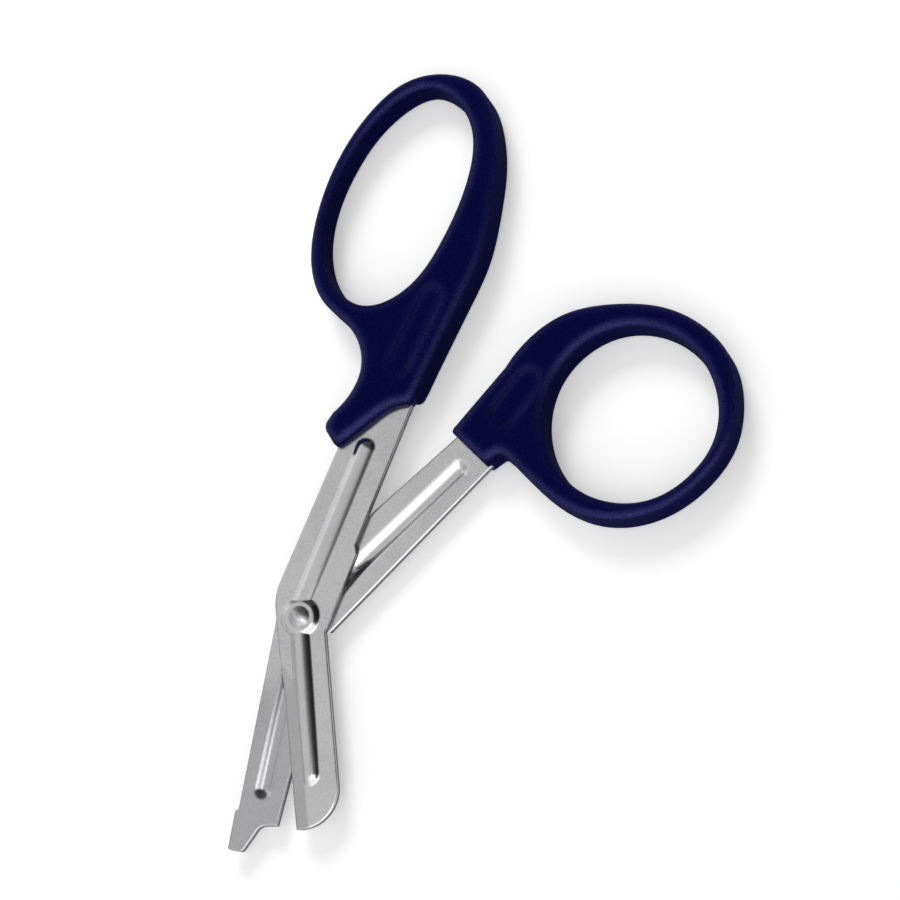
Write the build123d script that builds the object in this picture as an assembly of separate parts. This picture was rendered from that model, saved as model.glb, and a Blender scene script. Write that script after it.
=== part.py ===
# Bandage scissors: two stamped and cranked blades, two moulded handles and one rivet.
# Millimetres. +Z is the pivot's axis and up, +Y runs from the blades towards the handles.
# The scissors lie on their handles, a little open, as they do on a table.
from build123d import *
import os
from math import asin, cos, radians, sin

# Both halves are modelled about the pivot: X and Y are 0 on its axis, and Z is 0 midway between
# the two blades' inner faces. The whole assembly is moved to its final origin at the end.

# Sheet steel
SHEET = 1.6                  # thickness that both blades are stamped from
BLADE_GAP = 0.04             # running gap between the two inner faces
FACE_DIP = 0.004             # a pressed form's bend ends this far below the face, and crosses it cleanly

# Front blade, the upper one. An angle says where a straight edge runs, anticlockwise from +X,
# and an offset says how far the pivot's axis is from that edge.
FRONT_EDGE_ANGLE = -81.2     # the cutting edge, on the left
FRONT_EDGE_OFFSET = 5.9
FRONT_BACK_ANGLE = -81.8     # the blade's back, on the right
FRONT_BACK_OFFSET = 5.8
FRONT_EDGE_LENGTH = 49.3     # from the pivot to the cutting edge's end
FRONT_BACK_LENGTH = 40.6     # from the pivot to where the back turns into the nose
FRONT_SHANK_ANGLE = 69.7
FRONT_LEFT_ANGLE = 68.7      # the shank's left side leans in towards the handle
FRONT_SHANK_LEFT = 8.37
FRONT_SHANK_RIGHT = 7.1
SHOULDER_STEP = 1.25         # the shank's right edge steps in by this above its shoulder
SHOULDER_START = 18.6        # from the pivot, along the shank
SHOULDER_END = 20.6

# Rear blade, the lower one
REAR_BACK_ANGLE = -98.2      # the blade's back, on the left
REAR_BACK_OFFSET = 6.5
REAR_EDGE_ANGLE = -102.2     # the cutting edge, on the right
REAR_EDGE_OFFSET = 7.0
REAR_EDGE_LENGTH = 48.1      # from the pivot to the cutting edge's end
REAR_SHANK_ANGLE = 43.5
REAR_LEFT_ANGLE = 41.4       # the shank's sides lean in towards the handle
REAR_SHANK_LEFT = 8.25
REAR_RIGHT_ANGLE = 45.6
REAR_SHANK_RIGHT = 7.3

# Rounded corners of the two outlines beside the pivot
FRONT_HEEL_RADIUS = 12.0
REAR_HEEL_RADIUS = 6.0
NECK_RADIUS = 1.2

# The probe at the rear blade's end, which slides under a dressing
PROBE_START = 45.9           # from the pivot, along the back, to where the back steps out
PROBE_LENGTH = 9.7           # from that step to the foot
PROBE_STEP = 0.75
PROBE_FOOT = 3.6             # width of the blunt foot
PROBE_THROAT = 5.9           # height of the slant from the foot up to the nose
PROBE_SWEEP = 4.0            # and its width
PROBE_THROAT_ROUND = 2.4
PROBE_TOE_ROUND = 1.0
PROBE_HEEL_ROUND = 0.7

# Ground bevels on the outer faces
BEVEL_WIDTH = 3.4
BEVEL_START = 16.0           # from the pivot, along the cutting edge, to the bevel's full width
BEVEL_RUN_IN = 9.0           # the grinding runs in over this length before it
BEVEL_SHOULDER = 0.45        # width of the steep shoulder where the grinding meets the bead
EDGE_LAND = 0.35             # thickness left at the cutting edge

# Pressed beads, raised outside and hollow inside. The sheet keeps its thickness as it bends, so the
# bends are tight on the raised side and wide on the hollow side.
BEAD_RISE = 0.95
BEAD_WIDTH = 5.2             # raised side, from flat to flat
BEAD_FOOT_ROUND = 0.6
HOLLOW_WIDTH = 5.9           # hollow side
HOLLOW_LIP_ROUND = 2.8
FRONT_BEAD_SHIFT = 1.1       # the upper bead runs this far to the left of the pivot
FRONT_BEAD_REACH = 42.8      # from the pivot to the middle of the bead's round end
FRONT_LOWER_ANGLE = -82.4
FRONT_LOWER_SHIFT = 0.4
FRONT_LOWER_REACH = 37.5
REAR_BEAD_REACH = 50.6
REAR_LOWER_ANGLE = -99.7
REAR_LOWER_SHIFT = 0.3
REAR_LOWER_REACH = 40.6

# The raised boss round the pivot, which the beads run into
BOSS_RISE = 1.0
BOSS_RADIUS = 4.8
BOSS_SLOPE = 1.1             # width of the boss's sloping side
BOSS_ROUND = 0.8             # rounding between its top and its side

# Rivet
RIVET_RADIUS = 1.7
RIVET_CLEARANCE = 0.05       # running fit in the rear blade's hole
HEAD_RADIUS = 2.5
HEAD_HEIGHT = 1.25
HEAD_RIM = 0.3               # short straight rim under the dome
TAIL_RADIUS = 2.3
TAIL_HEIGHT = 0.9
TAIL_RIM = 0.2
TAIL_GAP = 0.05              # between the tail and the rear blade's boss

# Handles
HANDLE_THICKNESS = 9.0
HANDLE_ROUND = 1.15          # rounding of all rims
CORNER_ROUND = 0.95          # rounding of the handles' corners, seen from above
LOBE_ROUND = 2.6             # rounding of the front handle's lobe
FRONT_HANDLE_START = 44.0    # datum of the front handle, along its shank from the pivot
REAR_HANDLE_START = 54.0
RECESS_DEPTH = 0.35

# Below the steel the front handle starts further back on its right side
LOWER_FRONT = 13.5           # from the handle's datum
LOWER_LEFT = 1.0             # how far right of the shank's middle this begins
LOWER_DEPTH = 12.0
LOWER_ROUND = 2.0

# The shallow recess on each handle: its middle, its size, and how far it leans to the left
FRONT_RECESS_ACROSS = 0.4
FRONT_RECESS_ALONG = 29.1
FRONT_RECESS_LENGTH = 23.4
FRONT_RECESS_WIDTH = 5.6
FRONT_RECESS_LEAN = -4.0
REAR_RECESS_ACROSS = -1.3
REAR_RECESS_ALONG = 17.8
REAR_RECESS_LENGTH = 16.0
REAR_RECESS_WIDTH = 6.4
REAR_RECESS_LEAN = 10.0

# Tangs inside the handles
TANG_WIDTH = 7.6
TANG_CORNER = 1.5
TANG_HOLE_RADIUS = 1.9       # plastic fills this hole and keys the handle on
FRONT_TANG_START = 13.6      # from the handle's datum: the shank keeps its full width up to here
FRONT_TANG_END = 37.0
FRONT_TANG_ACROSS = -0.8
REAR_TANG_START = 3.0
REAR_TANG_END = 22.0
REAR_TANG_ACROSS = -1.5


def along(angle):
    """Unit vector at an angle from +X."""
    return Vector(cos(radians(angle)), sin(radians(angle)))


def right_of(angle):
    """Unit vector to the right of someone who looks along the angle."""
    return Vector(sin(radians(angle)), -cos(radians(angle)))


def at(angle, forward, across):
    """The point that lies so far along a direction from the pivot, and so far to the right of it."""
    return along(angle) * forward + right_of(angle) * across


def meet(angle_a, across_a, angle_b, across_b):
    """Where two straight edges cross, each given by its angle and how far right of the pivot it runs."""
    turn = radians(angle_a - angle_b)
    forward = (across_a * cos(turn) - across_b) / sin(turn)
    return at(angle_a, forward, across_a)


def corner(sketch, place):
    """The corner of an outline that is nearest to a point."""
    return sketch.vertices().sort_by(lambda v: (Vector(v.X, v.Y) - place).length)[0]


def plate(sketch, low, high):
    """A flat piece between two heights."""
    return Pos(0, 0, low) * extrude(sketch, high - low)


def hump(width, rise, foot_round):
    """Right half of a pressed form's section: a round crest that bends back into the flat sheet."""
    half = width / 2
    crest_round = (half**2 + rise**2) / (2 * rise) - foot_round
    slope = asin(half / (crest_round + foot_round))

    def on_crest(angle):
        return Vector(crest_round * sin(angle), rise - crest_round * (1 - cos(angle)))

    def on_foot(angle):
        return Vector(half - foot_round * sin(angle), foot_round * (1 - cos(angle)))

    return make_face([
        ThreePointArc(on_crest(0), on_crest(slope / 2), on_crest(slope)),
        ThreePointArc(on_crest(slope), on_foot(slope / 2), on_foot(0)),
        Polyline(on_foot(0), (half, -rise), (0, -rise), on_crest(0)),
    ])


def bead(start, end, section):
    """A pressed bead that stands on the plane Z = 0, from a point under the boss to its round end."""
    run = end - start
    left = Vector(-run.Y, run.X)
    base = Plane(origin=(start.X, start.Y, -FACE_DIP), x_dir=(left.X, left.Y, 0), z_dir=(run.X, run.Y, 0))
    round_end = revolve(Pos(run.X, run.Y) * (base * section), Axis((end.X, end.Y), (0, 0, -1)), 180)
    return extrude(base * (section + mirror(section, Plane.YZ)), run.length) + round_end


def boss():
    """The raised form of the boss round the pivot: flat on top, with a sloping side."""
    cone = Cone(BOSS_RADIUS, BOSS_RADIUS - BOSS_SLOPE, BOSS_RISE)
    rounded = fillet(cone.edges().sort_by(Axis.Z)[-1], BOSS_ROUND)
    return Pos(0, 0, BOSS_RISE / 2) * rounded


def bevel(edge_angle, across, length):
    """The wedge that grinding takes off an upper outer face, from the cutting edge inwards."""
    inward = -1 if across > 0 else 1
    spill = 0.5
    slope = (SHEET - EDGE_LAND) / BEVEL_WIDTH
    top = SHEET + BEAD_RISE + spill
    origin = at(edge_angle, BEVEL_START, across)
    side = right_of(edge_angle) * inward
    base = Plane(origin=(origin.X, origin.Y, 0), x_dir=(side.X, side.Y, 0), z_dir=along(edge_angle))
    up = base.y_dir.Z
    profile = Polygon(
        (-spill, up * (EDGE_LAND - slope * spill)),
        (BEVEL_WIDTH, up * SHEET),
        (BEVEL_WIDTH + BEVEL_SHOULDER, up * top),
        (-spill, up * top),
        align=None,
    )
    tip = origin - side * spill - along(edge_angle) * BEVEL_RUN_IN + Vector(0, 0, SHEET + slope * spill)
    run_in = loft([Vertex(tip), base * profile])
    return extrude(base * profile, length) + run_in


def front_outline():
    """The upper blade seen from above, from its nose to the tang's end."""
    nose_low = at(FRONT_EDGE_ANGLE, FRONT_EDGE_LENGTH, FRONT_EDGE_OFFSET)
    nose_high = at(FRONT_BACK_ANGLE, FRONT_BACK_LENGTH, -FRONT_BACK_OFFSET)
    neck = meet(FRONT_BACK_ANGLE, -FRONT_BACK_OFFSET, FRONT_SHANK_ANGLE, FRONT_SHANK_RIGHT)
    heel = meet(FRONT_EDGE_ANGLE, FRONT_EDGE_OFFSET, FRONT_LEFT_ANGLE, -FRONT_SHANK_LEFT)
    shank = FRONT_SHANK_ANGLE
    shank_right = FRONT_SHANK_RIGHT - SHOULDER_STEP
    start = FRONT_HANDLE_START + FRONT_TANG_START
    end = FRONT_HANDLE_START + FRONT_TANG_END
    path = [TangentArc(nose_high, nose_low, tangent=along(FRONT_BACK_ANGLE))]
    path += Polyline(
        nose_high,
        neck,
        at(shank, SHOULDER_START, FRONT_SHANK_RIGHT),
        at(shank, SHOULDER_END, shank_right),
        at(shank, start, shank_right),
        at(shank, start, FRONT_TANG_ACROSS + TANG_WIDTH / 2),
        at(shank, end, FRONT_TANG_ACROSS + TANG_WIDTH / 2),
        at(shank, end, FRONT_TANG_ACROSS - TANG_WIDTH / 2),
        at(shank, start, FRONT_TANG_ACROSS - TANG_WIDTH / 2),
        meet(FRONT_LEFT_ANGLE, -FRONT_SHANK_LEFT, shank + 90, start),
        heel,
        nose_low,
    ).edges()
    face = make_face(path)
    face = fillet(corner(face, heel), FRONT_HEEL_RADIUS)
    face = fillet(corner(face, neck), NECK_RADIUS)
    for side in (-1, 1):
        tang_end = at(shank, end, FRONT_TANG_ACROSS + side * TANG_WIDTH / 2)
        face = fillet(corner(face, tang_end), TANG_CORNER)
    hole = at(shank, (start + end) / 2, FRONT_TANG_ACROSS)
    return face - Pos(hole.X, hole.Y) * Circle(TANG_HOLE_RADIUS)


def rear_outline():
    """The lower blade seen from above, from its probe to the tang's end."""
    step = at(REAR_BACK_ANGLE, PROBE_START, REAR_BACK_OFFSET)
    step_out = at(REAR_BACK_ANGLE, PROBE_START + PROBE_STEP, REAR_BACK_OFFSET + PROBE_STEP)
    foot = at(REAR_BACK_ANGLE, PROBE_START + PROBE_LENGTH, REAR_BACK_OFFSET + PROBE_STEP)
    foot_end = at(REAR_BACK_ANGLE, PROBE_START + PROBE_LENGTH, REAR_BACK_OFFSET + PROBE_STEP - PROBE_FOOT)
    edge_end = at(REAR_EDGE_ANGLE, REAR_EDGE_LENGTH, -REAR_EDGE_OFFSET)
    throat = foot_end + Vector(PROBE_SWEEP, PROBE_THROAT)
    neck = meet(REAR_EDGE_ANGLE, -REAR_EDGE_OFFSET, REAR_RIGHT_ANGLE, REAR_SHANK_RIGHT)
    heel = meet(REAR_BACK_ANGLE, REAR_BACK_OFFSET, REAR_LEFT_ANGLE, -REAR_SHANK_LEFT)
    start = REAR_HANDLE_START + REAR_TANG_START
    end = REAR_HANDLE_START + REAR_TANG_END
    shank = REAR_SHANK_ANGLE
    right_end = meet(REAR_RIGHT_ANGLE, REAR_SHANK_RIGHT, shank + 90, start)
    left_end = meet(REAR_LEFT_ANGLE, -REAR_SHANK_LEFT, shank + 90, start)
    path = Polyline(
        edge_end,
        neck,
        right_end,
        at(shank, start, REAR_TANG_ACROSS + TANG_WIDTH / 2),
        at(shank, end, REAR_TANG_ACROSS + TANG_WIDTH / 2),
        at(shank, end, REAR_TANG_ACROSS - TANG_WIDTH / 2),
        at(shank, start, REAR_TANG_ACROSS - TANG_WIDTH / 2),
        left_end,
        heel,
        step,
        step_out,
        foot,
        foot_end,
        throat,
        edge_end,
    )
    face = make_face(path)
    face = fillet(corner(face, throat), PROBE_THROAT_ROUND)
    face = fillet(corner(face, foot_end), PROBE_TOE_ROUND)
    face = fillet(corner(face, foot), PROBE_HEEL_ROUND)
    face = fillet(corner(face, heel), REAR_HEEL_RADIUS)
    face = fillet(corner(face, neck), NECK_RADIUS)
    for side in (-1, 1):
        tang_end = at(shank, end, REAR_TANG_ACROSS + side * TANG_WIDTH / 2)
        face = fillet(corner(face, tang_end), TANG_CORNER)
    hole = at(shank, (start + end) / 2, REAR_TANG_ACROSS)
    return face - Pos(hole.X, hole.Y) * Circle(TANG_HOLE_RADIUS)


def pressed(outline, beads):
    """An upper blade from its outline: the sheet with its boss and beads, raised above and hollow below."""
    raised = hump(BEAD_WIDTH, BEAD_RISE, BEAD_FOOT_ROUND)
    hollow = hump(HOLLOW_WIDTH, BEAD_RISE, HOLLOW_LIP_ROUND)
    blade = plate(outline, 0, SHEET) + Pos(0, 0, SHEET) * boss()
    for start, end in beads:
        blade += Pos(0, 0, SHEET) * bead(start, end, raised)
    blade -= boss()
    for start, end in beads:
        blade -= bead(start, end, hollow)
    return blade


def make_front_blade():
    """The upper blade, bevelled on top along its cutting edge."""
    upper_start = at(FRONT_SHANK_ANGLE, 0, -FRONT_BEAD_SHIFT)
    upper_end = at(FRONT_SHANK_ANGLE, FRONT_BEAD_REACH, -FRONT_BEAD_SHIFT)
    lower_start = at(FRONT_LOWER_ANGLE, 0, FRONT_LOWER_SHIFT)
    lower_end = at(FRONT_LOWER_ANGLE, FRONT_LOWER_REACH, FRONT_LOWER_SHIFT)
    blade = pressed(front_outline(), [(upper_start, upper_end), (lower_start, lower_end)])
    blade -= bevel(FRONT_EDGE_ANGLE, FRONT_EDGE_OFFSET, FRONT_EDGE_LENGTH)
    blade -= Cylinder(RIVET_RADIUS, 4 * (SHEET + BEAD_RISE))
    return Pos(0, 0, BLADE_GAP / 2) * blade


def make_rear_blade():
    """The lower blade: modelled face up like the front one, then turned over onto its outer face."""
    upper_end = at(REAR_SHANK_ANGLE, REAR_BEAD_REACH, 0)
    lower_start = at(REAR_LOWER_ANGLE, 0, REAR_LOWER_SHIFT)
    lower_end = at(REAR_LOWER_ANGLE, REAR_LOWER_REACH, REAR_LOWER_SHIFT)
    blade = pressed(rear_outline(), [(Vector(0, 0), upper_end), (lower_start, lower_end)])
    blade -= bevel(REAR_EDGE_ANGLE, -REAR_EDGE_OFFSET, REAR_EDGE_LENGTH)
    blade -= Cylinder(RIVET_RADIUS + RIVET_CLEARANCE, 4 * (SHEET + BEAD_RISE))
    return Pos(0, 0, -BLADE_GAP / 2) * mirror(blade, Plane.XY)


def dome(radius, rim, height):
    """A rivet's head: a short straight rim with a dome on it, standing on the plane Z = 0."""
    rise = height - rim
    ball = (radius**2 + rise**2) / (2 * rise)
    cap = Pos(0, 0, height - ball) * Sphere(ball)
    return cap & (Pos(0, 0, height / 2) * Cylinder(radius, height))


def make_rivet():
    """The domed rivet: head on the front blade's boss, shank, and the tail spread under the rear boss."""
    head_seat = BLADE_GAP / 2 + SHEET + BOSS_RISE
    tail_seat = -head_seat - TAIL_GAP
    rivet = Pos(0, 0, (head_seat + tail_seat) / 2) * Cylinder(RIVET_RADIUS, head_seat - tail_seat)
    rivet += Pos(0, 0, head_seat) * dome(HEAD_RADIUS, HEAD_RIM, HEAD_HEIGHT)
    rivet += Pos(0, 0, tail_seat) * mirror(dome(TAIL_RADIUS, TAIL_RIM, TAIL_HEIGHT), Plane.XY)
    return rivet


def front_handle_outline():
    """The long handle seen from above, with its finger loop cut out."""

    def spot(across, forward):
        return at(FRONT_SHANK_ANGLE, FRONT_HANDLE_START + forward, across)

    flank = spot(6.0, 12.1)
    lobe_low = spot(-7.6, -3.3)
    lobe_left = spot(-12.4, 0.3)
    loop = Spline(
        spot(6.6, 17.4),
        spot(7.2, 27.0),
        spot(8.2, 40.0),
        spot(8.6, 52.0),
        spot(6.7, 63.5),
        spot(3.7, 74.5),
        spot(-1.1, 84.1),
        spot(-8.4, 91.2),
        spot(-18.5, 92.1),
        spot(-27.4, 87.3),
        spot(-33.0, 77.9),
        spot(-36.2, 63.0),
        spot(-35.4, 48.0),
        spot(-32.0, 37.2),
        spot(-25.1, 29.1),
        spot(-15.0, 24.4),
        spot(-9.2, 16.4),
        spot(-9.6, 8.4),
        spot(-11.4, 4.2),
    )
    face = make_face([
        Line(flank, loop @ 0),
        loop,
        Line(loop @ 1, lobe_left),
        Line(lobe_left, lobe_low),
        Spline(lobe_low, spot(-4.6, 0.8), spot(-1.7, 5.3), spot(1.2, 9.3), spot(3.4, 11.0), flank),
    ])
    face = fillet(corner(face, flank), CORNER_ROUND)
    face = fillet(corner(face, lobe_left), LOBE_ROUND)
    face = fillet(corner(face, lobe_low), CORNER_ROUND)
    hole = Spline(
        spot(-18.8, 87.9),
        spot(-12.4, 86.1),
        spot(-6.4, 80.8),
        spot(-2.4, 69.5),
        spot(-2.3, 52.5),
        spot(-7.1, 36.9),
        spot(-15.4, 31.1),
        spot(-22.6, 32.8),
        spot(-28.5, 38.2),
        spot(-33.3, 50.2),
        spot(-33.4, 65.5),
        spot(-28.1, 81.1),
        periodic=True,
    )
    return face - make_face(hole)


def rear_handle_outline():
    """The short handle seen from above, with its thumb hole cut out."""

    def spot(across, forward):
        return at(REAR_SHANK_ANGLE, REAR_HANDLE_START + forward, across)

    left = spot(-6.75, 1.5)
    right = spot(4.9, 2.0)
    notch = spot(5.6, 6.4)
    loop = Spline(
        spot(9.3, 6.8),
        spot(17.0, 6.9),
        spot(24.9, 7.9),
        spot(33.7, 11.6),
        spot(40.3, 18.3),
        spot(44.0, 26.7),
        spot(44.9, 35.7),
        spot(42.5, 46.4),
        spot(36.4, 54.3),
        spot(28.2, 59.4),
        spot(18.0, 60.2),
        spot(8.0, 57.0),
        spot(-1.7, 49.1),
        spot(-8.3, 39.6),
        spot(-10.1, 30.3),
        spot(-8.9, 21.0),
    )
    face = make_face([
        Line(loop @ 1, left),
        Line(left, right),
        Line(right, notch),
        Line(notch, loop @ 0),
        loop,
    ])
    for place in (left, right, notch):
        face = fillet(corner(face, place), CORNER_ROUND)
    hole = Spline(
        spot(41.7, 37.6),
        spot(33.0, 50.9),
        spot(17.5, 54.5),
        spot(3.7, 46.2),
        spot(0.7, 30.4),
        spot(9.6, 17.2),
        spot(24.8, 13.3),
        spot(38.5, 21.9),
        periodic=True,
    )
    return face - make_face(hole)


def cut_back(outline):
    """The long handle's outline below the steel: its front is set back where the rear blade passes."""
    front = FRONT_HANDLE_START + LOWER_FRONT
    middle = at(FRONT_SHANK_ANGLE, front - LOWER_DEPTH / 2, LOWER_LEFT + LOWER_DEPTH / 2)
    block = Pos(middle.X, middle.Y) * Rot(0, 0, FRONT_SHANK_ANGLE) * Rectangle(LOWER_DEPTH, LOWER_DEPTH)
    face = outline - block
    outer = at(FRONT_SHANK_ANGLE, front, FRONT_SHANK_RIGHT - SHOULDER_STEP)
    return fillet(corner(face, outer), LOWER_ROUND)


def recess(shank_angle, forward, across, length, width, lean):
    """The block that leaves a shallow recess with round ends in a handle's top face."""
    place = at(shank_angle, forward, across)
    outline = Pos(place.X, place.Y) * Rot(0, 0, shank_angle + lean) * SlotOverall(length, width)
    return plate(outline, HANDLE_THICKNESS / 2 - RECESS_DEPTH, HANDLE_THICKNESS)


def moulded(outline, lower_outline, steel):
    """A handle from its outlines above and below the steel, with rounded rims, moulded round the steel."""
    half = HANDLE_THICKNESS / 2
    body = plate(outline, 0, half) + plate(lower_outline, -half, 0)
    rims = body.edges().filter_by(lambda edge: abs(abs(edge.center().Z) - half) < half / 10)
    return fillet(rims, HANDLE_ROUND) - steel


front_blade = make_front_blade()
rear_blade = make_rear_blade()
rivet = make_rivet()
long_outline = front_handle_outline()
short_outline = rear_handle_outline()
front_handle = moulded(long_outline, cut_back(long_outline), front_blade) - recess(
    FRONT_SHANK_ANGLE,
    FRONT_HANDLE_START + FRONT_RECESS_ALONG,
    FRONT_RECESS_ACROSS,
    FRONT_RECESS_LENGTH,
    FRONT_RECESS_WIDTH,
    FRONT_RECESS_LEAN,
)
rear_handle = moulded(short_outline, short_outline, rear_blade) - recess(
    REAR_SHANK_ANGLE,
    REAR_HANDLE_START + REAR_RECESS_ALONG,
    REAR_RECESS_ACROSS,
    REAR_RECESS_LENGTH,
    REAR_RECESS_WIDTH,
    REAR_RECESS_LEAN,
)

nodes = {
    "front_blade": front_blade,
    "front_handle": front_handle,
    "rear_blade": rear_blade,
    "rear_handle": rear_handle,
    "pivot_rivet": rivet,
}

# The final origin is the middle of the whole box's underside.
box = Compound(children=[node.solid() for node in nodes.values()]).bounding_box()
shift = Pos(-box.center().X, -box.center().Y, -box.min.Z)
os.makedirs("parts", exist_ok=True)
for name, node in nodes.items():
    placed = shift * node.solid()
    export_step(placed, f"parts/{name}.step")
    print(name, round(placed.volume, 1), "mm3, closed:", placed.is_valid)
print("pivot axis at", round(shift.position.X, 3), round(shift.position.Y, 3))
print("blades' contact plane at", round(shift.position.Z, 3))
print("whole size", [round(v, 2) for v in box.size])
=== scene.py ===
# %% [markdown]
# # Bandage scissors on white paper
# These scissors cut dressings away from a patient: two stamped steel blades, two moulded handles
# and one domed rivet. Every solid already has its real form and place. This lesson gives each one
# its finish, adds the studio round it, and takes the picture from above and a little to one side.
# %% Load the solids
from math import atan, cos, degrees, pi, radians, sin

import bpy
from mathutils import Matrix, Vector


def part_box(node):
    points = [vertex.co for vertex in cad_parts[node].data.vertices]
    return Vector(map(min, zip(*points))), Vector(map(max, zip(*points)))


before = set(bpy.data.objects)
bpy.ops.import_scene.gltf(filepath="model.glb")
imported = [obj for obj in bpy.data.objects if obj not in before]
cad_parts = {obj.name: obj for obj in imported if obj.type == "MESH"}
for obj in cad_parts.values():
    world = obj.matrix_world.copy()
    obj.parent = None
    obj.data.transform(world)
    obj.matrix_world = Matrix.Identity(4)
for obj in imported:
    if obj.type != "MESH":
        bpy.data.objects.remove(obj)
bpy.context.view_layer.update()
MM = 0.001               # one millimetre, in the scene's metres
print("solids:", sorted(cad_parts))

# %% [markdown]
# ## The camera
# The picture is taken from 650 mm away, so the far handle is hardly smaller than the near blades.
# The camera looks straight down and is then leant over by 24 degrees. It could be aimed with an
# empty and a constraint, but one rotation about a named axis says the same in one line.
# %% Place the camera
PHOTO_SIDE = 900                             # pixels
FOCAL_PIXELS = 2772                          # the lens, in those pixels
CAMERA_DISTANCE = 650 * MM
CAMERA_LEAN = 24                             # degrees from straight down
CAMERA_LEAN_AXIS = 47                        # degrees from +X, level
CAMERA_AIM = Vector((-9.91, -0.24, 4.5)) * MM

lean_axis = Matrix.Rotation(radians(CAMERA_LEAN_AXIS), 3, "Z") @ Vector((1, 0, 0))
lean = Matrix.Rotation(radians(CAMERA_LEAN), 4, lean_axis)
towards_camera = lean @ Vector((0, 0, 1))
camera_data = bpy.data.cameras.new("camera")
camera_data.lens = camera_data.sensor_width * FOCAL_PIXELS / PHOTO_SIDE
camera = bpy.data.objects.new("camera", camera_data)
camera.matrix_world = Matrix.Translation(CAMERA_AIM + towards_camera * CAMERA_DISTANCE) @ lean
bpy.context.collection.objects.link(camera)
bpy.context.scene.camera = camera
view_angle = 2 * degrees(atan(PHOTO_SIDE / 2 / FOCAL_PIXELS))
print("lens", round(camera_data.lens, 1), "mm, view angle", round(view_angle, 1), "degrees")

# %% [markdown]
# ## Shader maths as Python
# A finish is a small sum: so much grain, less of it where the metal is worn, a little darker at
# the edge. Wiring Math nodes by hand hides that sum. This class wraps one output socket, and its
# operators add the Math nodes, so that `1 - mask` is all a reader has to read.
# %% A class for sockets
class Socket:
    """An output socket of a node tree. Arithmetic on it adds the Math nodes that work it out."""

    def __init__(self, tree, socket=None):
        self.tree = tree
        self.socket = socket

    def add(self, kind, settings, inputs, output=0):
        """A node of any kind: its settings are set first, then its sockets' values or links."""
        node = self.tree.nodes.new(kind)
        for name, value in settings.items():
            setattr(node, name, value)
        for name, value in inputs.items():
            if isinstance(value, Socket):
                self.tree.links.new(value.socket, node.inputs[name])
            else:
                node.inputs[name].default_value = value
        return Socket(self.tree, node.outputs[output] if node.outputs else None)

    def math(self, operation, first, second):
        """One Math node on two values, of which either may be a plain number."""
        return self.add("ShaderNodeMath", {"operation": operation}, {0: first, 1: second})

    def __add__(self, other):
        return self.math("ADD", self, other)

    def __sub__(self, other):
        return self.math("SUBTRACT", self, other)

    def __mul__(self, other):
        return self.math("MULTIPLY", self, other)

    def __truediv__(self, other):
        return self.math("DIVIDE", self, other)

    def __rsub__(self, other):
        return self.math("SUBTRACT", other, self)

    def __rtruediv__(self, other):
        return self.math("DIVIDE", other, self)

    __radd__ = __add__
    __rmul__ = __mul__


# %% [markdown]
# A few shapes of sum come back in every finish: a soft step between two values, one colour mixed
# with another, noise at a size in millimetres, a height that becomes a bump, and how upright a
# surface is. Each gets a short function, so the finishes below read as descriptions.
# %% Helpers for the finishes
MIX_COLOUR_OFF = 6           # a Mix node's colour sockets come after those for numbers and vectors
MIX_COLOUR_ON = 7
MIX_COLOUR_RESULT = 2
BEVEL_SAMPLES = 8            # rays that a Bevel node sends out to feel for an edge
UP = (0, 0, 1)


def new_material(name):
    """An empty node material, and a socket of its tree to build from."""
    material = bpy.data.materials.new(name)
    material.use_nodes = True
    material.node_tree.nodes.clear()
    return material, Socket(material.node_tree)


def soft_step(value, low, high):
    """0 below the first value, 1 above the second, and smooth between them."""
    inputs = {"Value": value, "From Min": low, "From Max": high}
    return value.add("ShaderNodeMapRange", {"interpolation_type": "SMOOTHSTEP"}, inputs)


def mix_colours(mask, colour_off, colour_on):
    """One colour where the mask is 0, another where it is 1. Each is three numbers or a socket."""
    inputs = {"Factor": mask}
    for socket, colour in ((MIX_COLOUR_OFF, colour_off), (MIX_COLOUR_ON, colour_on)):
        inputs[socket] = colour if isinstance(colour, Socket) else (*colour, 1)
    return mask.add("ShaderNodeMix", {"data_type": "RGBA"}, inputs, MIX_COLOUR_RESULT)


def noise(place, grain, detail=2.0, roughness=0.6):
    """Noise whose grains are about so many metres across."""
    inputs = {"Vector": place, "Scale": 1 / grain, "Detail": detail, "Roughness": roughness}
    return place.add("ShaderNodeTexNoise", {}, inputs)


def bump(height, distance, normal=None):
    """A bumped normal from a height of 0 to 1, where 1 is that distance in metres."""
    inputs = {"Height": height, "Distance": distance}
    if normal:
        inputs["Normal"] = normal
    return height.add("ShaderNodeBump", {}, inputs)


def rounded(start, radius):
    """The normal that the surface would have if its edges were rounded by this radius."""
    return start.add("ShaderNodeBevel", {"samples": BEVEL_SAMPLES}, {"Radius": radius})


def cosine(way, target):
    """The cosine of the angle between a direction's socket and a fixed direction."""
    inputs = {0: way, 1: target}
    return way.add("ShaderNodeVectorMath", {"operation": "DOT_PRODUCT"}, inputs, "Value")


def upright(normal):
    """1 where a normal points straight up or down, 0 where it is level."""
    height = cosine(normal, UP)
    return height * height


def finish_material(material, shader):
    """Links the shader to the material's output."""
    shader.add("ShaderNodeOutputMaterial", {}, {"Surface": shader})
    print("material", material.name, "has", len(material.node_tree.nodes), "nodes")
    return material


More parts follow.
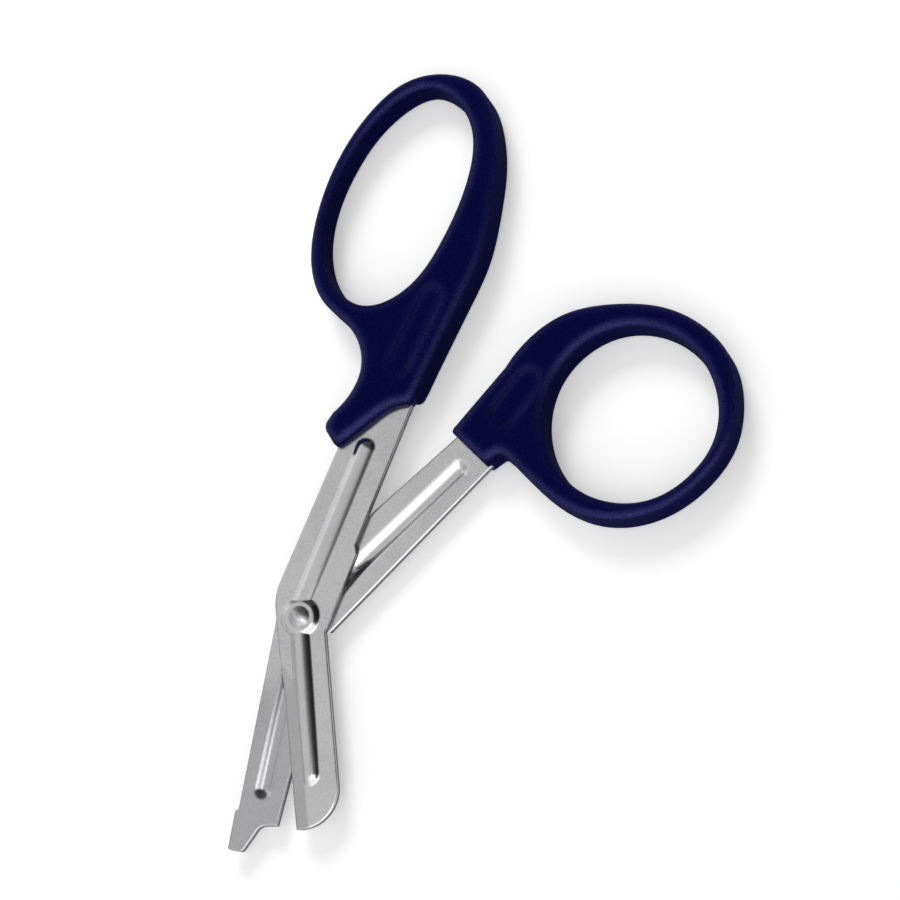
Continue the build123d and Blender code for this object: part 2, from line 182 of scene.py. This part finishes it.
# %% [markdown]
# ## Satin steel
# The blades are stamped from stainless sheet and then tumbled to an even satin, so they mirror the
# studio only as soft bands. A mirror with a little roughness gives those bands. A fine grain breaks
# them up, and faint clouds keep large flats from looking computed. An image of steel would repeat
# itself; noise never does.
# %% The satin surface
STEEL_COLOUR = (0.77, 0.765, 0.775)
STEEL_DULL = (0.65, 0.645, 0.66)
GRAIN = 0.26 * MM            # across one grain
GRAIN_HEIGHT = 0.005 * MM
CLOUD = 9 * MM               # across one cloud
DULL_NOISE = (0.40, 0.62)    # noise is bright below the first level and dull above the second
SPECK_SHARE = 0.7            # how much of the dullness is fine specks, and how much is clouds
CLOUD_SHARE = 0.3


def satin(place):
    """How dull tumbled steel is at a place, from 0 to 1, and the height of its grain there."""
    grain = noise(place, GRAIN, detail=3.0, roughness=0.65)
    specks = soft_step(grain, *DULL_NOISE)
    clouds = soft_step(noise(place, CLOUD, detail=4.0), *DULL_NOISE)
    return CLOUD_SHARE * clouds + SPECK_SHARE * specks, grain


# %% [markdown]
# ## The cut edge of the sheet
# A stamping press shears only the first part of the sheet's thickness and tears the rest. So the
# narrow walls have a bright burnished line along the top and a dull grey band below it. That band
# is painted darker than torn steel is: painted shade, for the dark gap beside the blades' edges.
# The bright line is what draws the blades' right-hand edges in the picture. It could be two faces
# with materials of their own, but the height within the sheet already says which is which. Tumbling
# has also rounded the blades' edges, more softly than the solids show. A Bevel node gives that
# rounded normal, and the form stays as it is.
# %% The blades' steel
SHEET = 1.6 * MM
SHEET_GAP = 0.04 * MM
EDGE_SOFTNESS = 0.7 * MM     # how far tumbling has rounded the edges
WALL_UPRIGHT = (0.15, 0.35)  # a surface is a wall below the first value, a face above the second
BURNISHED = (0.58, 0.70)     # share of the sheet's height where tearing ends and burnishing begins
# the torn band's colour: duller torn steel, painted much darker as painted shade of the gap by the
# edges
TORN_STEEL_AND_SHADE = (0.22, 0.218, 0.22)
# painted shade: the darker steel that the rear blade's working end is given
PAINTED_SHADE_STEEL = (0.60, 0.595, 0.61)
PAINTED_SHADE_DULL = (0.50, 0.495, 0.51)
STEEL_ROUGHNESS = 0.19
DULL_ROUGHNESS = 0.06        # what full dullness adds
TORN_ROUGHNESS = 0.25        # what torn steel adds


def blade_steel(name, sheet_low, shade_from, shade_to):
    """Satin steel with sheared walls, and painted shade that darkens it beyond a place along the
    blade.
    """
    material, start = new_material(name)
    place = start.add("ShaderNodeTexCoord", {}, {}, "Object")
    surface = start.add("ShaderNodeNewGeometry", {}, {}, "Normal")
    along_blade = place.add("ShaderNodeSeparateXYZ", {}, {0: place}, "Y")
    height = place.add("ShaderNodeSeparateXYZ", {}, {0: place}, "Z")
    dullness, grain = satin(place)
    wall = 1 - soft_step(upright(surface), *WALL_UPRIGHT)
    # where the wall is torn, which also places the painted shade of the gap beside the edges
    torn_band_and_shade = wall * (1 - soft_step((height - sheet_low) / SHEET, *BURNISHED))
    # painted shade: the steel's colour darkens beyond a place along the blade
    painted_shade = 1 - soft_step(along_blade, shade_to, shade_from)
    unshaded_colour = mix_colours(dullness, STEEL_COLOUR, STEEL_DULL)
    painted_shade_colour = mix_colours(dullness, PAINTED_SHADE_STEEL, PAINTED_SHADE_DULL)
    sheet_colour = mix_colours(painted_shade, unshaded_colour, painted_shade_colour)
    shader = start.add("ShaderNodeBsdfPrincipled", {}, {
        "Base Color": mix_colours(torn_band_and_shade, sheet_colour, TORN_STEEL_AND_SHADE),
        "Metallic": 1.0,
        "Roughness": STEEL_ROUGHNESS + DULL_ROUGHNESS * dullness + TORN_ROUGHNESS * torn_band_and_shade,
        "Normal": bump(grain, GRAIN_HEIGHT, rounded(start, EDGE_SOFTNESS)),
    })
    return finish_material(material, shader)


# %% [markdown]
# ## The rivet
# The rivet's head was struck with a punch after the blades were tumbled, so it is duller than they
# are, and its dome shows only blurred patches of light.
# %% The rivet's steel
RIVET_STEEL = (0.66, 0.655, 0.665)
RIVET_DULL = (0.50, 0.495, 0.505)
DENT = 0.8 * MM              # across one dent
DENT_DEPTH = 0.03 * MM
DENT_NOISE = (0.42, 0.58)    # noise is bright below the first level and dull above the second
RIVET_ROUGHNESS = 0.36
DENT_ROUGHNESS = 0.08        # what the dents add


def struck_steel():
    """Steel with shallow dents, for the rivet."""
    material, start = new_material("struck_steel")
    place = start.add("ShaderNodeTexCoord", {}, {}, "Object")
    dents = noise(place, DENT)
    shader = start.add("ShaderNodeBsdfPrincipled", {}, {
        "Base Color": mix_colours(soft_step(dents, *DENT_NOISE), RIVET_STEEL, RIVET_DULL),
        "Metallic": 1.0,
        "Roughness": RIVET_ROUGHNESS + DENT_ROUGHNESS * dents,
        "Normal": bump(dents, DENT_DEPTH),
    })
    return finish_material(material, shader)


# %% [markdown]
# ## Moulded navy plastic
# The handles are moulded in a fine spark-eroded texture. Flat tops look matt and deep, while the
# round rims catch a speckled blue sheen, because fingers have polished them and because they turn
# to the light. One shader can't be matt and shiny at once, so two are mixed, by how far the surface
# leans. A Bevel node gives the normal of a softer rim than the solid has, which widens that sheen.
# A second, much tighter one does the same for small edges, such as those of the recesses.
# %% The plastic
NAVY = (0.0012, 0.0014, 0.032)
NAVY_PEAKS = (0.0052, 0.0055, 0.070)
NAVY_SHEEN = (0.32, 0.33, 1.0)
TEXTURE = 0.28 * MM          # across one peak of the mould's texture
TEXTURE_HEIGHT = 0.05 * MM
PEAK_NOISE = (0.40, 0.64)    # noise is a valley below the first level and a peak above the second
RIM_SOFTNESS = 4.0 * MM
RIM_UPRIGHT = (0.88, 0.998)  # a surface leans below the first value, and is flat above the second
CREASE_SOFTNESS = 0.3 * MM
CREASE_UPRIGHT = (0.86, 0.99)
SIDE_UPRIGHT = (0.15, 0.55)  # a surface is a plain side below the first value
CREASE_SHEEN = 0.25          # share of a rim's sheen that a small edge has
VALLEY_SHEEN = 0.4           # share of the sheen that valleys have, and what peaks add to it
PEAK_SHEEN = 0.6


def leaning_band(normal, flat_upright):
    """1 where a surface leans, 0 where it is flat and again where it is a plain side."""
    flatness = upright(normal)
    return (1 - soft_step(flatness, *flat_upright)) * soft_step(flatness, *SIDE_UPRIGHT)


def moulded_plastic():
    """Navy plastic that is matt on flat tops and shiny on its rims."""
    material, start = new_material("moulded_plastic")
    place = start.add("ShaderNodeTexCoord", {}, {}, "Object")
    grain = noise(place, TEXTURE)
    peaks = soft_step(grain, *PEAK_NOISE)
    colour = mix_colours(peaks, NAVY, NAVY_PEAKS)
    rim = rounded(start, RIM_SOFTNESS)
    crease = rounded(start, CREASE_SOFTNESS)
    leaning_crease = leaning_band(crease, CREASE_UPRIGHT)
    sheen = 1 - (1 - leaning_band(rim, RIM_UPRIGHT)) * (1 - CREASE_SHEEN * leaning_crease)
    speckled_sheen = sheen * (VALLEY_SHEEN + PEAK_SHEEN * peaks)
    matt = start.add("ShaderNodeBsdfPrincipled", {}, {
        "Base Color": colour,
        "Roughness": 0.6,
        "Specular IOR Level": 0.01,
        "Normal": bump(grain, TEXTURE_HEIGHT, crease),
    })
    polished = start.add("ShaderNodeBsdfPrincipled", {}, {
        "Base Color": colour,
        "Roughness": 0.38,
        "IOR": 1.6,
        "Specular IOR Level": 1.0,
        "Specular Tint": (*NAVY_SHEEN, 1),
        "Normal": bump(grain, TEXTURE_HEIGHT, rim),
    })
    shader = start.add("ShaderNodeMixShader", {}, {0: speckled_sheen, 1: matt, 2: polished})
    return finish_material(material, shader)


# %% [markdown]
# ## Who gets which finish
# The sheet's lower face is found from the imported front blade, so the sheared band follows the solid
# if its height changes. The rear blade lies one running gap below it. Its working end is painted
# with shade, darker than its shank; the front blade has none.
# %% Give each solid its finish
SHADE_FROM = -48 * MM         # along +Y: painted shade darkens the rear blade between these two places
SHADE_TO = -62 * MM
NEVER = -300 * MM            # a place beyond the blades' ends

front_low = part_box("front_blade")[0][2]
rear_low = front_low - SHEET_GAP - SHEET
plastic = moulded_plastic()
FINISHES = {
    "front_blade": blade_steel("front_blade_steel", front_low, NEVER, NEVER - MM),
    "rear_blade": blade_steel("rear_blade_steel", rear_low, SHADE_FROM, SHADE_TO),
    "pivot_rivet": struck_steel(),
    "front_handle": plastic,
    "rear_handle": plastic,
}
for name, finish in FINISHES.items():
    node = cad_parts[name]
    node.data.materials.clear()
    node.data.materials.append(finish)
    print(name, "has the finish", finish.name)

# %% [markdown]
# ## White paper
# The picture's paper is brighter than its camera could record, and only the shadows close to the
# scissors show. Paper is a plain diffuse white. A faint glow, which only the camera and mirrors
# see, lifts it the same way. Brighter lamps would do that too, but would wash out the steel.
# %% The paper under the scissors
FLOOR_REACH = 3.0            # metres to each side
FLOOR_GAP = 0.02 * MM
FLOOR_CORNERS = ((-1, -1), (1, -1), (1, 1), (-1, 1))
PAPER = (0.82, 0.82, 0.83)
SEEN_PAPER = (1, 1, 1)
SEEN_GLOW = 0.27
MIRRORED_GLOW = 0.10
WHITE = (1, 1, 1, 1)


def paper():
    """Diffuse paper that overexposes a little for the camera."""
    material, start = new_material("white_paper")
    seen = start.add("ShaderNodeLightPath", {}, {}, "Is Camera Ray")
    mirrored = start.add("ShaderNodeLightPath", {}, {}, "Is Glossy Ray")
    diffuse = start.add("ShaderNodeBsdfDiffuse", {}, {"Color": mix_colours(seen, PAPER, SEEN_PAPER)})
    strength = SEEN_GLOW * seen + MIRRORED_GLOW * mirrored
    glow = start.add("ShaderNodeEmission", {}, {"Color": WHITE, "Strength": strength})
    return finish_material(material, start.add("ShaderNodeAddShader", {}, {0: diffuse, 1: glow}))


floor_mesh = bpy.data.meshes.new("floor")
corners = [(x * FLOOR_REACH, y * FLOOR_REACH, -FLOOR_GAP) for x, y in FLOOR_CORNERS]
floor_mesh.from_pydata(corners, [], [(0, 1, 2, 3)])
floor_mesh.materials.append(paper())
floor = bpy.data.objects.new("floor", floor_mesh)
bpy.context.collection.objects.link(floor)
print("floor", FLOOR_GAP / MM, "mm below the handles")

# %% [markdown]
# ## The tent
# Polished things are photographed in a tent of white cloth, because steel shows whatever stands
# round it. What the steel mirrors tells how this tent was hung: a soft box overhead and towards the
# lower right, a brighter wall at the left with a gap in it, and dark cards at the upper right and
# low at the right. The cards draw the black lines along the beads. The world is that tent. Cloth
# and cards could be meshes, but then they would have to be hidden from the camera one by one.
# %% Hang the tent
TENT = 0.65                  # radiance of the plain cloth; a white wall at full strength is 1
LEFT_WALL = 0.40             # what the left wall adds
LEFT_GAP = 0.24              # what the gap in it takes away
SOFT_BOX = 1.22              # radiance of the soft box
BLACK_CARD = 0.90            # share of the light that each card keeps off
LOW_CARD = 0.93
BACKDROP = 1.0               # what the camera sees behind the paper

world = bpy.data.worlds.new("tent")
bpy.context.scene.world = world
world.use_nodes = True
world.node_tree.nodes.clear()
sky = Socket(world.node_tree)
direction = sky.add("ShaderNodeTexCoord", {}, {}, "Generated")


def way_towards(azimuth, elevation):
    """The unit vector towards an azimuth and an elevation, in degrees."""
    turn = radians(azimuth)
    climb = radians(elevation)
    return Vector((cos(turn) * cos(climb), sin(turn) * cos(climb), sin(climb)))


def leaning(azimuth, low, high):
    """How far a direction in the tent leans to an azimuth: 0 below one cosine, 1 above another."""
    return soft_step(cosine(direction, tuple(way_towards(azimuth, 0))), low, high)


black_card = leaning(azimuth=60, low=0.10, high=0.36)
low_card = leaning(azimuth=5, low=0.36, high=0.62)
left_wall = leaning(azimuth=125, low=0.62, high=0.84)
left_gap = leaning(azimuth=178, low=0.70, high=0.95)
upper_edge = leaning(azimuth=-109, low=-0.01, high=0.13)    # the soft box lies beyond three edges
slanting_edge = leaning(azimuth=-50, low=-0.25, high=-0.05)
left_edge = leaning(azimuth=10, low=-0.48, high=-0.28)
soft_box = upper_edge * slanting_edge * left_edge
cloth = TENT + LEFT_WALL * left_wall - LEFT_GAP * left_gap
cloth = cloth * (1 - BLACK_CARD * black_card) * (1 - LOW_CARD * low_card)
strength = cloth * (1 - soft_box) + SOFT_BOX * soft_box
tent = sky.add("ShaderNodeBackground", {}, {"Color": WHITE, "Strength": strength})
backdrop = sky.add("ShaderNodeBackground", {}, {"Color": WHITE, "Strength": BACKDROP})
seen = sky.add("ShaderNodeLightPath", {}, {}, "Is Camera Ray")
both = sky.add("ShaderNodeMixShader", {}, {0: seen, 1: tent, 2: backdrop})
sky.add("ShaderNodeOutputWorld", {}, {"Surface": both})
print("the tent has", len(world.node_tree.nodes), "nodes")

# %% [markdown]
# ## Two lamps
# The shadows fall to the lower right and are soft, so one large lamp shines through the tent from
# the upper left; the cloth hides it from mirrors. A small white card close over the blades' ends
# puts the bright line into the rear blade's channel. It has to be a lamp with a place, because the
# tent is infinitely far away and would put that line into every channel alike.
# %% Key light and card
KEY_AZIMUTH = 108            # degrees
KEY_ELEVATION = 40
KEY_DISTANCE = 1.0           # metres
KEY_SIDE = 0.4
KEY_RADIANCE = 7.6
CARD_PLACE = Vector((12.5, -95, 135)) * MM
CARD_SIDE = 85 * MM
CARD_RADIANCE = 1.3


def area_lamp(name, place, side, radiance):
    """A square lamp that shines straight down and is never in the picture itself."""
    data = bpy.data.lights.new(name, "AREA")
    data.energy = radiance * pi * side**2
    data.size = side
    lamp = bpy.data.objects.new(name, data)
    lamp.location = place
    lamp.visible_camera = False
    bpy.context.collection.objects.link(lamp)
    print(name, "takes", round(data.energy, 2), "W")
    return lamp


key_way = way_towards(KEY_AZIMUTH, KEY_ELEVATION)
key = area_lamp("key", CAMERA_AIM + key_way * KEY_DISTANCE, KEY_SIDE, KEY_RADIANCE)
key.rotation_euler = key_way.to_track_quat("Z", "Y").to_euler()
key.visible_glossy = False
card = area_lamp("card", CARD_PLACE, CARD_SIDE, CARD_RADIANCE)
card.visible_diffuse = False

# %% [markdown]
# ## The last settings
# The Standard transform keeps white paper white and navy navy; a film-like one would grey both.
# %% View transform
bpy.context.scene.view_settings.view_transform = "Standard"
